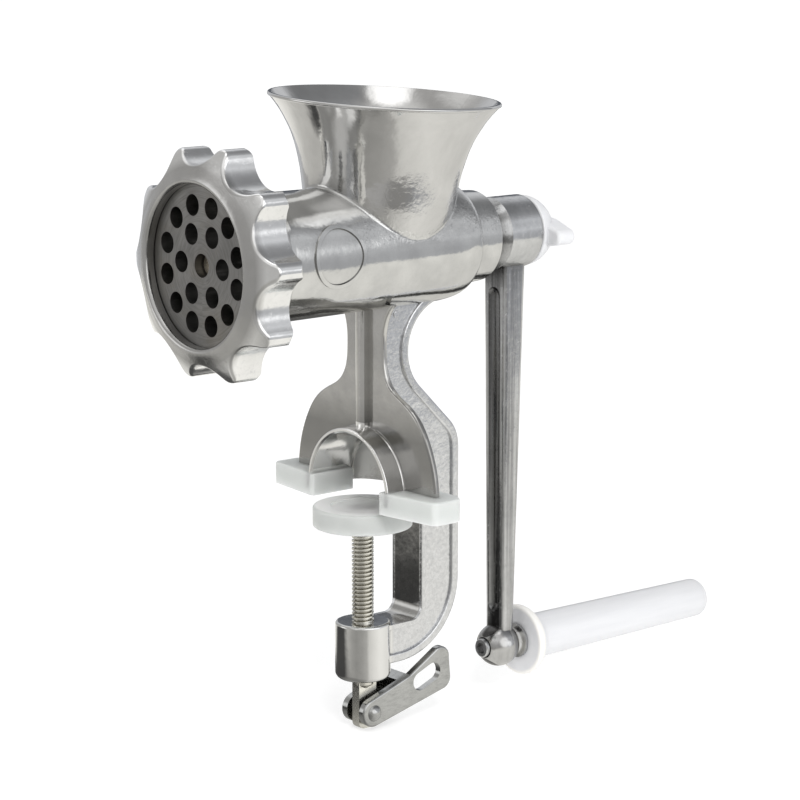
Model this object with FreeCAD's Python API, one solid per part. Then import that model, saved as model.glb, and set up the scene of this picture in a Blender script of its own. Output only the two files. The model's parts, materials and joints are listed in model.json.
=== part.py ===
"""Hand crank meat grinder with a table clamp, as an assembly of separate pieces.

Millimetres.  +Z is up, +X points to the crank, -X to the cutting plate.
The origin is on the clamp screw's axis, in the plane of the table top, which is
the plane of the undersides of the two foot pads.
"""
import FreeCAD, Part
import math
import os
from FreeCAD import Vector as V

os.makedirs("parts", exist_ok=True)

# ----------------------------------------------------------------- dimensions
AXIS_Z = 92.0            # height of the barrel and auger axis above the table

# ring nut and cutting plate
NUT_FRONT_X = -73.9      # plane of the nut's mouth
NUT_BACK_X = -57.5
NUT_MOUTH_R = 27.8
NUT_BORE_R = 31.58
NUT_TIP_R = 41.1         # lobe tips
NUT_FLUTE_R = 34.0       # bottom of the flutes
NUT_LOBES = 10
NUT_LOBE_TIP_RADIUS = 3.6
NUT_PHASE = 15.5         # first lobe, degrees from +Z towards -Y
PLATE_R = 31.0
MOUTH_X = -64.1          # front edge of the barrel
PLATE_X1 = MOUTH_X - 0.1 # back face of the plate
PLATE_X0 = PLATE_X1 - 5.4
KNIFE_X0 = PLATE_X1 + 0.3
KNIFE_X1 = KNIFE_X0 + 5.2
AUGER_X0 = KNIFE_X1 + 0.4
PLATE_HOLE_R = 3.7
PLATE_OUTER_RING = 20.7
PLATE_INNER_RING = 11.7
PIVOT_PIN_R = 4.0        # round end of the auger pin
PIVOT_HOLE_R = 4.08
THREAD_GAP = 0.06        # between a thread's crest and its plain bore

# barrel
MOUTH_THREAD_R = 31.5
MOUTH_ROOT_R = 30.7
MOUTH_PITCH = 3.0
CHAMBER_R = 27.0
BARREL_R0 = 22.6
BARREL_R1 = 22.1
BORE_R = 19.6
BORE_END_X = 36.0
COLLAR_X0 = 40.4
COLLAR_X1 = 53.0
COLLAR_R0 = 17.3
COLLAR_R1 = 16.6
BUSH_R = 11.0
JOURNAL_R = 8.9
BUSH_BORE_R = 8.95

# hopper
HOP_X = 9.3
HOP_PIVOT_Z = 128.0
HOP_LEAN = (3.3, V(0.77, 0.64, 0))   # degrees about this line: mostly to the rear
HOP_WALL = 2.9           # thinning to the rim
HOP_RIM = 1.3
HOP_SEAM_R = 1.3         # fillet where the hopper meets the barrel

# saddle, feet and spine
PLATE_FRONT = 1.0        # saddle web, front face
PLATE_BACK = 3.4
ARCH_R = 21.0
ARCH_WALL = 1.7
ARCH_Z = 5.0
ARCH_FRONT = -7.2
ARCH_BACK = 11.5
APSE_DEPTH = 12.5        # rounded rear end of the arch, outside
FOOT_Z = 3.0
RIB_W = 4.9              # centre rib of the web: width, crowned front and its crown
RIB_FRONT = -1.8
RIB_CROWN = 0.7
SPINE_W = 8.3            # half width
SPINE_OUT = 39.0
SPINE_IN = 21.0
PANEL_DEPTH = 1.0
PANEL_RIM = 3.4          # raised border along the outer edge
PANEL_LIP = 1.6          # and along the inner edge
ARM_TOP = -45.5
ARM_BOTTOM = -60.0
BOSS_R = 10.1
BOSS_TOP = -44.2
BOSS_BOTTOM = -65.4
PAD_H = 8.0

# clamp
SCREW_R = 4.0
SCREW_ROOT = 3.15
SCREW_PITCH = 1.5
DISC_R = 18.0
DISC_TOP = -1.2
DISC_BOTTOM = -8.7
TONGUE = 2.0             # half thickness of the screw's flattened end
PIVOT = (0.4, 0.0, -78.0)    # rivet through lever and tongue

# crank
HUB_X0 = 55.4
HUB_X1 = 75.7
HUB_R = 13.4
STUD_X0 = 47.0           # inner end of the thumb screw
PIN_END_X = -41.0        # inner end of the auger pin's hole
GRIP_Z = -65.5
BALL_X = 66.2
BALL_R = 8.2


# -------------------------------------------------------------------- helpers
def save(name, shape):
    if shape.ShapeType == "Compound" and len(shape.Solids) == 1:
        shape = shape.Solids[0]
    try:
        clean = shape.copy().removeSplitter()
        if clean.isValid() and abs(clean.Volume - shape.Volume) < 1e-3 * shape.Volume:
            shape = clean
    except Exception:
        pass
    if shape.ShapeType == "Compound" and len(shape.Solids) == 1:
        shape = shape.Solids[0]
    print("%-18s valid %-5s solids %d  volume %9.1f  box X %.1f..%.1f Y %.1f..%.1f Z %.1f..%.1f" % (
        name, shape.isValid(), len(shape.Solids), shape.Volume,
        shape.BoundBox.XMin, shape.BoundBox.XMax, shape.BoundBox.YMin,
        shape.BoundBox.YMax, shape.BoundBox.ZMin, shape.BoundBox.ZMax))
    shape.exportStep("parts/%s.step" % name)
    return shape


def cyl_x(x0, x1, r, z=AXIS_Z, y=0.0):
    return Part.makeCylinder(r, x1 - x0, V(x0, y, z), V(1, 0, 0))


def cyl_y(y0, y1, r, x, z):
    return Part.makeCylinder(r, y1 - y0, V(x, y0, z), V(0, 1, 0))


def cyl_z(z0, z1, r, x=0.0, y=0.0):
    return Part.makeCylinder(r, z1 - z0, V(x, y, z0), V(0, 0, 1))


def box(x0, x1, y0, y1, z0, z1):
    return Part.makeBox(x1 - x0, y1 - y0, z1 - z0, V(x0, y0, z0))


def line(a, b):
    return Part.LineSegment(a, b).toShape()


def arc(a, m, b):
    return Part.Arc(a, m, b).toShape()


def spline(pts):
    c = Part.BSplineCurve()
    c.interpolate(pts)
    return c.toShape()


def face(edges):
    return Part.Face(Part.Wire(Part.__sortEdges__(edges)))


def rev_x(pts, z=AXIS_Z, y=0.0):
    """Revolve a closed polygon of (x, r) points about the line y, z along X."""
    w = Part.makePolygon([V(x, y, z + r) for x, r in pts] + [V(pts[0][0], y, z + pts[0][1])])
    return Part.Face(w).revolve(V(0, y, z), V(1, 0, 0), 360)


def rev_z(pts, x=0.0, y=0.0):
    w = Part.makePolygon([V(x + r, y, z) for z, r in pts] + [V(x + pts[0][1], y, pts[0][0])])
    return Part.Face(w).revolve(V(x, y, 0), V(0, 0, 1), 360)


def fillet_try(shape, edges, *radii):
    for r in radii:
        try:
            s = shape.makeFillet(r, edges)
            if s.isValid() and s.Volume > 0.5 * shape.Volume:
                return s
        except Exception:
            pass
    print("  fillet left off")
    return shape


def thread_z(r_core, r_crest, pitch, z0, z1, left=False, w_root=0.78, w_crest=0.34):
    """A helical ridge about Z from z0 to z1, as one solid that dips into the core."""
    h = z1 - z0
    helix = Part.makeLongHelix(pitch, h, r_core, 0, left)
    inner = r_core - 0.12
    a = pitch * w_root / 2
    b = pitch * w_crest / 2
    prof = Part.makePolygon([V(inner, 0, -a), V(r_crest, 0, -b), V(r_crest, 0, b),
                             V(inner, 0, a), V(inner, 0, -a)])
    ridge = Part.Wire(helix).makePipeShell([prof], True, True)
    ridge = Part.Solid(ridge) if ridge.ShapeType == "Shell" else ridge
    ridge.translate(V(0, 0, z0))
    return ridge


def hexagon_x(x0, x1, af, z, y=0.0, turn=0.0):
    r = af / 2 / math.cos(math.pi / 6)
    p = [V(x0, y + r * math.cos(math.radians(60 * i + turn)), z + r * math.sin(math.radians(60 * i + turn)))
         for i in range(6)]
    return Part.Face(Part.makePolygon(p + [p[0]])).extrude(V(x1 - x0, 0, 0))


# --------------------------------------------------------------- body casting
def barrel_outer():
    z = AXIS_Z
    P = lambda x, r: V(x, 0, z + r)
    e = [line(P(MOUTH_X, 0), P(MOUTH_X, MOUTH_ROOT_R)),
         line(P(MOUTH_X, MOUTH_ROOT_R), P(-54.4, MOUTH_ROOT_R)),
         line(P(-54.4, MOUTH_ROOT_R), P(-53.2, 29.6)),
         arc(P(-53.2, 29.6), P(-46.2 - 7 * math.cos(math.pi / 4), 29.6 - 7 * math.sin(math.pi / 4)), P(-46.2, BARREL_R0)),
         line(P(-46.2, BARREL_R0), P(26, BARREL_R1)),
         spline([P(26, BARREL_R1), P(31, 21.95), P(35.5, 21.45), P(38.6, 20.6), P(40.0, 19.6), P(40.3, 18.6)]),
         line(P(40.3, 18.6), P(COLLAR_X0, COLLAR_R0)),
         line(P(COLLAR_X0, COLLAR_R0), P(COLLAR_X1 - 1.0, COLLAR_R1)),
         line(P(COLLAR_X1 - 1.0, COLLAR_R1), P(COLLAR_X1, COLLAR_R1 - 0.9)),
         line(P(COLLAR_X1, COLLAR_R1 - 0.9), P(COLLAR_X1, 0)),
         line(P(COLLAR_X1, 0), P(MOUTH_X, 0))]
    return face(e).revolve(V(0, 0, z), V(1, 0, 0), 360)


HOP_OUT = [(20.8, 92.6), (23.0, 97.0), (25.1, 102.0), (26.6, 107.0), (27.5, 112.0), (28.3, 117.2),
           (29.6, 122.7), (31.5, 128.8), (34.3, 134.7), (37.4, 139.6), (40.6, 143.5)]


def hopper_outer():
    z_rim = 144.9
    o = [V(r, 0, z) for r, z in HOP_OUT]
    e = [spline(o),
         arc(o[-1], V(41.35, 0, 144.35), V(40.6, 0, z_rim)),
         line(V(40.6, 0, z_rim), V(0, 0, z_rim)),
         line(V(0, 0, z_rim), V(0, 0, 92.6)),
         line(V(0, 0, 92.6), o[0])]
    return face(e).revolve(V(0, 0, 0), V(0, 0, 1), 360)


def hopper_inner():
    pts = []
    for i, (r, z) in enumerate(HOP_OUT):
        a = HOP_OUT[max(i - 1, 0)]
        b = HOP_OUT[min(i + 1, len(HOP_OUT) - 1)]
        dr, dz = b[0] - a[0], b[1] - a[1]
        n = math.hypot(dr, dz)
        k = max(0.0, (z - 120.0) / (143.5 - 120.0))
        w = HOP_WALL + (HOP_RIM - HOP_WALL) * min(k, 1.0)
        pts.append((r - w * dz / n, z + w * dr / n))
    # carried on past the rim in the direction of the wall's last stretch
    a, b = pts[-2], pts[-1]
    k = (145.8 - b[1]) / (b[1] - a[1])
    pts.append((b[0] + k * (b[0] - a[0]), 145.8))
    o = [V(r, 0, z) for r, z in pts]
    e = [spline(o),
         line(o[-1], V(0, 0, o[-1].z)),
         line(V(0, 0, o[-1].z), V(0, 0, o[0].z)),
         line(V(0, 0, o[0].z), o[0])]
    return face(e).revolve(V(0, 0, 0), V(0, 0, 1), 360)


def lean(shape):
    s = shape.copy()
    s.translate(V(HOP_X, 0, 0))
    s.rotate(V(HOP_X, 0, HOP_PIVOT_Z), HOP_LEAN[1], HOP_LEAN[0])
    return s


def arch_round(front, r, depth):
    """A round bar along the arch's axis that ends in a dome of the given depth."""
    P = lambda x, w: V(x, 0, ARCH_Z + w)
    q = [(ARCH_BACK + depth * math.sin(math.radians(t)), r * math.cos(math.radians(t))) for t in range(0, 90, 9)]
    dome = [P(x, w) for x, w in q] + [P(ARCH_BACK + depth, 0)]
    e = [line(P(front, 0), P(front, r)), line(P(front, r), dome[0]), spline(dome), line(dome[-1], P(front, 0))]
    return face(e).revolve(V(0, 0, ARCH_Z), V(1, 0, 0), 360)


def saddle():
    """Bell-shaped web across the barrel with an arch, its flange and a centre rib."""
    half = [(38.9, FOOT_Z), (38.9, 9.5), (37.0, 19.2), (33.3, 27.7), (27.3, 35.4), (20.4, 39.6),
            (14.6, 43.0), (11.2, 48.2), (10.2, 55.0), (10.4, 62.0), (12.2, 68.0), (16.0, 73.0)]
    up = spline([V(0, y, z) for y, z in half[1:]])
    dn = spline([V(0, -y, z) for y, z in half[1:]])
    e = [line(V(0, 38.9, FOOT_Z), V(0, 38.9, 9.5)), up,
         line(V(0, 16.0, 73.0), V(0, -16.0, 73.0)), dn,
         line(V(0, -38.9, 9.5), V(0, -38.9, FOOT_Z)),
         line(V(0, -38.9, FOOT_Z), V(0, 38.9, FOOT_Z))]
    web = face(e).extrude(V(PLATE_BACK - PLATE_FRONT, 0, 0))
    web.translate(V(PLATE_FRONT, 0, 0))
    edges = [ed for ed in web.Edges if ed.Length > 45 and abs(ed.BoundBox.XLength) < 0.01]
    web = fillet_try(web, edges, 0.9, 0.7)
    r = ARCH_R + ARCH_WALL
    ring = arch_round(ARCH_FRONT, r, APSE_DEPTH)
    ring = fillet_try(ring, [ed for ed in ring.Edges if ed.BoundBox.XMax < ARCH_FRONT + 0.01 and ed.BoundBox.YLength > 40], 0.5)
    ring = ring.cut(box(-40, 60, -60, 60, -60, FOOT_Z))
    z0 = ARCH_Z + ARCH_R + 0.5
    w = RIB_W / 2
    crown = [V(RIB_FRONT + RIB_CROWN, -w, z0), V(RIB_FRONT, 0, z0), V(RIB_FRONT + RIB_CROWN, w, z0)]
    rib = face([arc(*crown), line(crown[2], V(PLATE_FRONT + 1.0, w, z0)),
                line(V(PLATE_FRONT + 1.0, w, z0), V(PLATE_FRONT + 1.0, -w, z0)),
                line(V(PLATE_FRONT + 1.0, -w, z0), crown[0])]).extrude(V(0, 0, 72.5 - z0))
    rib = fillet_try(rib, [ed for ed in rib.Edges if ed.BoundBox.ZLength > 20 and ed.BoundBox.XMax < 0.5], 0.45)
    # rounded corner between the ring and the web
    cx, cz = PLATE_FRONT - 0.96, ARCH_Z + r + 0.96
    q = math.sqrt(0.5)
    c = [V(cx, 0, cz - 1), V(cx + q, 0, cz - q), V(cx + 1, 0, cz), V(cx + 1.4, 0, cz), V(cx + 1.4, 0, cz - 1.6), V(cx, 0, cz - 1.6)]
    cove = face([arc(c[0], c[1], c[2])] + [line(c[k], c[(k + 1) % 6]) for k in range(2, 6)]).revolve(V(0, 0, ARCH_Z), V(1, 0, 0), 360)
    cove = cove.cut(box(-40, 60, -60, 60, -60, FOOT_Z + 1.2))
    plate = web.fuse(ring).fuse(cove)
    return plate.fuse(rib)


def vault():
    """The room under the arch, as far back as the spine's inner face."""
    flare = rev_x([(ARCH_FRONT - 1, 0), (ARCH_FRONT - 1, ARCH_R + 1.6), (ARCH_FRONT + 0.6, ARCH_R), (ARCH_FRONT + 0.6, 0)], ARCH_Z)
    return arch_round(-40.0, ARCH_R, SPINE_IN - ARCH_BACK - 0.2), flare


def spine_outline(off):
    """Outer edge of the spine in the XZ plane, moved inwards by off."""
    r1 = 18.0 + off
    c1 = (33.0, 54.0)
    c2 = (25.0, 16.8)
    r2 = 14.0 - off
    c3 = (11.0, -32.0)
    r3 = 28.0 - off
    q = math.sqrt(0.5)
    a = V(c1[0] - r1 * math.sin(math.radians(8)), 0, c1[1] + r1 * math.cos(math.radians(8)))
    b = V(c1[0] - r1, 0, c1[1])
    c = V(c1[0] - r1 * q, 0, c1[1] - r1 * q)
    d = V(c2[0] + r2 * q, 0, c2[1] + r2 * q)
    m = V(c2[0] + r2 * math.cos(math.radians(22.5)), 0, c2[1] + r2 * math.sin(math.radians(22.5)))
    f = V(c2[0] + r2, 0, c2[1])
    g = V(c3[0] + r3, 0, c3[1])
    h = V(c3[0] + r3 * q, 0, c3[1] - r3 * q)
    i = V(c3[0], 0, c3[1] - r3)
    return a, b, c, d, m, f, g, h, i


def spine():
    a, b, c, d, m, f, g, h, i = spine_outline(0.0)
    inner_r = 4.5
    k = V(0, 0, ARM_BOTTOM)
    l = V(0, 0, ARM_TOP)
    n0 = V(SPINE_IN - inner_r, 0, ARM_TOP)
    n1 = V(SPINE_IN - inner_r * (1 - math.sqrt(0.5)), 0, ARM_TOP + inner_r * (1 - math.sqrt(0.5)))
    n2 = V(SPINE_IN, 0, ARM_TOP + inner_r)
    o0 = V(SPINE_IN, 0, 8.0)
    o1 = V(SPINE_IN - 2.9, 0, 18.2)
    o2 = V(SPINE_IN - 12.0, 0, 24.0)
    p = V(3.0, 0, 24.0)
    q = V(3.0, 0, 74.0)
    e = [line(V(a.x, 0, 74.0), a), arc(a, b, c), line(c, d), arc(d, m, f), line(f, g), arc(g, h, i),
         line(i, k), line(k, l), line(l, n0), arc(n0, n1, n2), line(n2, o0), arc(o0, o1, o2),
         line(o2, p), line(p, q), line(q, V(a.x, 0, 74.0))]
    s = face(e).extrude(V(0, 2 * SPINE_W, 0))
    s.translate(V(0, -SPINE_W, 0))
    rim = [ed for ed in s.Edges if ed.BoundBox.YLength < 0.01
           and (ed.BoundBox.XMax > 21.5 or ed.BoundBox.ZMax < -59.9) and ed.BoundBox.ZMax < 73.0]
    s = fillet_try(s, rim, 1.1, 0.7)
    # recessed panels on both sides, open towards the web and the barrel
    a, b, c, d, m, f, g, h, i = spine_outline(PANEL_RIM)
    ir = inner_r + PANEL_LIP
    cx, cz = SPINE_IN - inner_r, ARM_TOP + inner_r
    k = V(4.0, 0, i.z)
    l = V(4.0, 0, ARM_TOP - PANEL_LIP)
    n0 = V(cx, 0, cz - ir)
    n1 = V(cx + ir * math.sqrt(0.5), 0, cz - ir * math.sqrt(0.5))
    n2 = V(cx + ir, 0, cz)
    o0 = V(SPINE_IN + PANEL_LIP, 0, 20.0)
    o1 = V(SPINE_IN - 7.0, 0, 31.3)
    o2 = V(2.0, 0, 31.3)
    o3 = V(2.0, 0, 75.0)
    a3 = V(a.x, 0, 75.0)
    e = [line(a3, a), arc(a, b, c), line(c, d), arc(d, m, f), line(f, g), arc(g, h, i), line(i, k), line(k, l),
         line(l, n0), arc(n0, n1, n2), line(n2, o0), line(o0, o1), line(o1, o2), line(o2, o3), line(o3, a3)]
    pan = face(e).extrude(V(0, 6, 0))
    outline_panel = Part.Wire([arc(a, b, c), line(c, d), arc(d, m, f), line(f, g), arc(g, h, i)])
    for y in (-SPINE_W - 6 + PANEL_DEPTH, SPINE_W - PANEL_DEPTH):
        t = pan.copy()
        t.translate(V(0, y, 0))
        s = s.cut(t)
    # rounded inner edge of the raised border
    bead = []
    for ed in s.Edges:
        bb = ed.BoundBox
        if bb.YLength > 0.01 or abs(abs(bb.YMin) - SPINE_W) > 0.01:
            continue
        mid = ed.valueAt((ed.FirstParameter + ed.LastParameter) / 2)
        if min(p.distToShape(Part.Vertex(V(mid.x, 0, mid.z)))[0] for p in (outline_panel,)) < 0.02:
            bead.append(ed)
    s = fillet_try(s, bead, 0.6, 0.4)
    # small round casting mark in the panel's upper corner
    mark = cyl_y(-SPINE_W + PANEL_DEPTH - 0.5, 0, 1.3, 9.6, 68.2)
    mark = fillet_try(mark, [ed for ed in mark.Edges if ed.BoundBox.YMax < -SPINE_W + PANEL_DEPTH - 0.4], 0.35)
    return s.fuse(mark)


def make_body():
    b = barrel_outer()
    boss = cyl_z(BOSS_BOTTOM, BOSS_TOP, BOSS_R)
    low = [ed for ed in boss.Edges if abs(ed.BoundBox.ZMax - BOSS_BOTTOM) < 0.01 and ed.BoundBox.ZLength < 0.01]
    boss = boss.makeFillet(2.4, low)
    top = [ed for ed in boss.Edges if abs(ed.BoundBox.ZMin - BOSS_TOP) < 0.01 and ed.BoundBox.ZLength < 0.01]
    boss = boss.makeFillet(1.0, top)
    # blank round pad on the side of the barrel
    pad = cyl_y(-40, -10, 11.0, -27.5, 93.5).common(rev_x([(-45, 0), (-45, 23.2), (-10, 23.2), (-10, 0)]))
    well = cyl_y(-40, -10, 9.7, -27.5, 93.5).cut(rev_x([(-45, 0), (-45, 22.75), (-10, 22.75), (-10, 0)]))
    s = b.fuse(lean(hopper_outer()))
    seam = [ed for ed in s.Edges if ed.BoundBox.ZMin > AXIS_Z and ed.BoundBox.ZMax < 120
            and ed.BoundBox.XMin > -20 and ed.BoundBox.XMax < 40 and ed.Length > 8]
    s = fillet_try(s, seam, HOP_SEAM_R, 1.0, 2.0)
    stand = saddle().fuse(spine())
    for tool in vault():
        stand = stand.cut(tool)
    s = s.fuse(stand.fuse(boss).removeSplitter())
    s = s.fuse(pad.cut(well))
    # inside
    bore = rev_x([(MOUTH_X - 1, 0), (MOUTH_X - 1, CHAMBER_R), (-57.0, CHAMBER_R), (-50.5, BORE_R),
                  (BORE_END_X, BORE_R), (BORE_END_X, 0)])
    for tool in (bore, cyl_x(BORE_END_X - 1, COLLAR_X1 + 1, BUSH_R), lean(hopper_inner()),
                 cyl_z(BOSS_BOTTOM - 1, BOSS_TOP + 1, SCREW_R + THREAD_GAP)):
        s = s.cut(tool)
    # key pin hole and mouth thread
    s = s.cut(cyl_x(MOUTH_X - 1, MOUTH_X + 4.2, 1.2, AXIS_Z + 28.9))
    ridge = thread_z(MOUTH_ROOT_R, MOUTH_THREAD_R, MOUTH_PITCH, 0, 7.9)
    ridge.rotate(V(0, 0, 0), V(0, 1, 0), -90)
    ridge.translate(V(-54.9, 0, AXIS_Z))
    ridge = ridge.common(box(MOUTH_X, -50, -60, 60, 0, 200))
    return s.fuse(ridge)


# ------------------------------------------------------------------ foot pads
def foot_pad(body):
    """The pad on the -Y side, let in around the foot."""
    pts = [(-8.4, -18.6), (-5.0, -45.8), (8.9, -45.8), (11.4, -18.6)]
    w = Part.makePolygon([V(x, y, 0) for x, y in pts] + [V(pts[0][0], pts[0][1], 0)])
    p = Part.Face(w).extrude(V(0, 0, PAD_H))
    for n, r in ((0, 1.2), (1, 2.2), (2, 5.5), (3, 1.2)):
        at = [ed for ed in p.Edges if ed.BoundBox.ZLength > PAD_H - 0.1
              and math.hypot(ed.CenterOfMass.x - pts[n][0], ed.CenterOfMass.y - pts[n][1]) < 0.01]
        p = fillet_try(p, at, r)
    top = [ed for ed in p.Edges if ed.BoundBox.ZMin > PAD_H - 0.01]
    p = fillet_try(p, top, 0.7)
    s = p.cut(body)
    return max(s.Solids, key=lambda t: t.Volume)


# ------------------------------------------------------------ plate, nut, key
def cutting_plate():
    p = cyl_x(PLATE_X0, PLATE_X1, PLATE_R)
    cut = [cyl_x(PLATE_X0 - 1, PLATE_X1 + 1, PIVOT_HOLE_R)]
    for i in range(12):
        t = math.radians(13.5 + 30 * i)
        cut.append(cyl_x(PLATE_X0 - 1, PLATE_X1 + 1, PLATE_HOLE_R,
                         AXIS_Z + PLATE_OUTER_RING * math.cos(t), PLATE_OUTER_RING * math.sin(t)))
    for i in range(6):
        t = math.radians(29.0 + 60 * i)
        cut.append(cyl_x(PLATE_X0 - 1, PLATE_X1 + 1, PLATE_HOLE_R,
                         AXIS_Z + PLATE_INNER_RING * math.cos(t), PLATE_INNER_RING * math.sin(t)))
    p = p.cut(cut)
    notch = cyl_x(PLATE_X0 - 1, PLATE_X1 + 1, 1.35, AXIS_Z + 28.9).fuse(
        box(PLATE_X0 - 1, PLATE_X1 + 1, -1.35, 1.35, AXIS_Z + 28.9, AXIS_Z + 34))
    return p.cut(notch)


def lobed_wire(x):
    """Closed outline of lobes and flutes, all arcs tangent to each other."""
    n = NUT_LOBES
    rl = NUT_LOBE_TIP_RADIUS
    Rl = NUT_TIP_R - rl
    k = math.cos(math.pi / n)
    # flute radius from tangency of the two circles
    F = NUT_FLUTE_R
    rf = (Rl * Rl + F * F - 2 * Rl * F * k - rl * rl) / (2 * (Rl * k - F + rl))
    Rf = F + rf
    P = lambda R, t: V(x, -R * math.sin(t), AXIS_Z + R * math.cos(t))
    edges = []
    for i in range(n):
        t0 = math.radians(NUT_PHASE) + 2 * math.pi * i / n
        tf = t0 + math.pi / n
        tl = t0 + 2 * math.pi / n
        cl0, cf, cl1 = P(Rl, t0), P(Rf, tf), P(Rl, tl)
        a = cl0 + (cf - cl0).normalize() * rl
        b = cl1 + (cf - cl1).normalize() * rl
        cfp = t0 - math.pi / n
        cfprev = P(Rf, cfp)
        z = cl0 + (cfprev - cl0).normalize() * rl
        edges.append(arc(z, P(NUT_TIP_R, t0), a))
        edges.append(arc(a, P(F, tf), b))
    return Part.Wire(Part.__sortEdges__(edges))


def ring_nut():
    star = Part.Face(lobed_wire(NUT_FRONT_X - 1)).extrude(V(NUT_BACK_X - NUT_FRONT_X + 2, 0, 0))
    z = AXIS_Z
    P = lambda x, r: V(x, 0, z + r)
    tip = NUT_TIP_R + 0.2
    f, m = NUT_FRONT_X, NUT_MOUTH_R
    q = 1.6 * (1 - math.sqrt(0.5))
    e = [arc(P(f + 1.6, m), P(f + q, m + q), P(f, m + 1.6)),
         spline([P(f, m + 1.6), P(f + 0.3, m + 2.5), P(f + 0.95, m + 3.9), P(f + 3.2, 36.6), P(f + 6.2, tip)]),
         line(P(NUT_FRONT_X + 6.2, tip), P(NUT_BACK_X - 1.8, tip)),
         arc(P(NUT_BACK_X - 1.8, tip), P(NUT_BACK_X - 0.55, tip - 0.8), P(NUT_BACK_X, tip - 2.2)),
         line(P(NUT_BACK_X, tip - 2.2), P(NUT_BACK_X, NUT_BORE_R + 0.7)),
         line(P(NUT_BACK_X, NUT_BORE_R + 0.7), P(NUT_BACK_X - 0.7, NUT_BORE_R)),
         line(P(NUT_BACK_X - 0.7, NUT_BORE_R), P(PLATE_X0 - 0.3, NUT_BORE_R)),
         line(P(PLATE_X0 - 0.3, NUT_BORE_R), P(PLATE_X0 - 0.3, NUT_MOUTH_R)),
         line(P(PLATE_X0 - 0.3, NUT_MOUTH_R), P(f + 1.6, m))]
    ring = face(e).revolve(V(0, 0, z), V(1, 0, 0), 360)
    s = ring.common(star)
    # rounded edges all round the lobes
    front, back = [], []
    for ed in s.Edges:
        p = ed.valueAt((ed.FirstParameter + ed.LastParameter) / 2)
        r = math.hypot(p.y, p.z - z)
        if r > NUT_FLUTE_R - 0.3 and ed.BoundBox.XLength < 6.0:
            if p.x < f + 7.5 and ed.Length > 1.0:
                front.append(ed)
            elif p.x > NUT_BACK_X - 2.4 and ed.Length > 1.0:
                back.append(ed)
    s = fillet_try(s, front, 1.6, 1.2, 0.8, 0.5)
    return s


# ----------------------------------------------------------------- feed screw
def auger():
    core = rev_x([(AUGER_X0, 0), (AUGER_X0, 9.5), (AUGER_X0 + 3, 9.5), (AUGER_X0 + 5, 8.6), (20.0, 10.2), (29.0, 13.0),
                  (34.3, 13.0), (34.3, JOURNAL_R), (HUB_X0 - 0.2, JOURNAL_R), (HUB_X0 - 0.2, 0)])
    length = 83.0
    pitch = 27.0
    helix = Part.makeLongHelix(pitch, length, 12.0, 0, True)
    prof = Part.makePolygon([V(6.0, 0, -3.6), V(19.0, 0, -1.7), V(19.0, 0, 1.7), V(6.0, 0, 3.6), V(6.0, 0, -3.6)])
    flight = Part.Wire(helix).makePipeShell([prof], True, True)
    flight.rotate(V(0, 0, 0), V(0, 1, 0), 90)
    flight.translate(V(AUGER_X0 + 4.6, 0, AXIS_Z))
    tang = box(HUB_X0 - 0.2, HUB_X1 - 2.4, -5.0, 5.0, AXIS_Z - 5.0, AXIS_Z + 5.0).common(
        cyl_x(HUB_X0 - 1, HUB_X1, 6.6))
    s = core.fuse(flight).fuse(tang)
    s = s.cut(cyl_x(AUGER_X0 - 1, PIN_END_X, 5.0)).cut(cyl_x(STUD_X0 - 1.0, HUB_X1, SCREW_R + THREAD_GAP))
    return s


def auger_pin():
    sq = box(KNIFE_X0, AUGER_X0, -4.75, 4.75, AXIS_Z - 4.75, AXIS_Z + 4.75).common(
        cyl_x(KNIFE_X0 - 1, AUGER_X0 + 1, 6.1))
    tip_x = KNIFE_X0 - 2.4
    tip = rev_x([(tip_x, 0), (tip_x, PIVOT_PIN_R - 0.6), (tip_x + 0.6, PIVOT_PIN_R), (KNIFE_X0, PIVOT_PIN_R), (KNIFE_X0, 0)])
    return sq.fuse(tip).fuse(cyl_x(AUGER_X0, PIN_END_X - 0.2, 5.0))


def cross_knife():
    x0, x1 = KNIFE_X0, KNIFE_X1
    hub = cyl_x(x0, x1, 9.5)
    parts = []
    for i in range(4):
        pts = [(-4.6, 5.0), (5.4, 5.0), (4.0, 16.0), (2.0, 25.9), (-5.0, 25.4), (-6.4, 15.0)]
        w = Part.makePolygon([V(x0, y, z) for y, z in pts] + [V(x0, pts[0][0], pts[0][1])])
        blade = Part.Face(w).extrude(V(x1 - x0, 0, 0))
        # slope on the trailing side of each blade
        tri = Part.makePolygon([V(x0 + 1.4, -9, 0), V(x1 + 0.1, -9, 0), V(x1 + 0.1, 0.5, 0), V(x0 + 1.4, -9, 0)])
        slope = Part.Face(tri).extrude(V(0, 0, 40))
        slope.translate(V(0, 0, 9.6))
        blade = blade.cut(slope)
        blade.rotate(V(0, 0, 0), V(1, 0, 0), 90 * i + 20)
        blade.translate(V(0, 0, AXIS_Z))
        parts.append(blade)
    s = hub.fuse(parts)
    return s.cut(box(x0 - 1, x1 + 1, -4.8, 4.8, AXIS_Z - 4.8, AXIS_Z + 4.8).common(cyl_x(x0 - 2, x1 + 2, 6.15)))


def rear_bush():
    return rev_x([(36.4, BUSH_BORE_R), (36.4, BUSH_R), (COLLAR_X1, BUSH_R), (COLLAR_X1, 13.6),
                  (COLLAR_X1 + 1.3, 13.6), (COLLAR_X1 + 1.8, 13.1), (COLLAR_X1 + 1.8, BUSH_BORE_R)])


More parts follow.
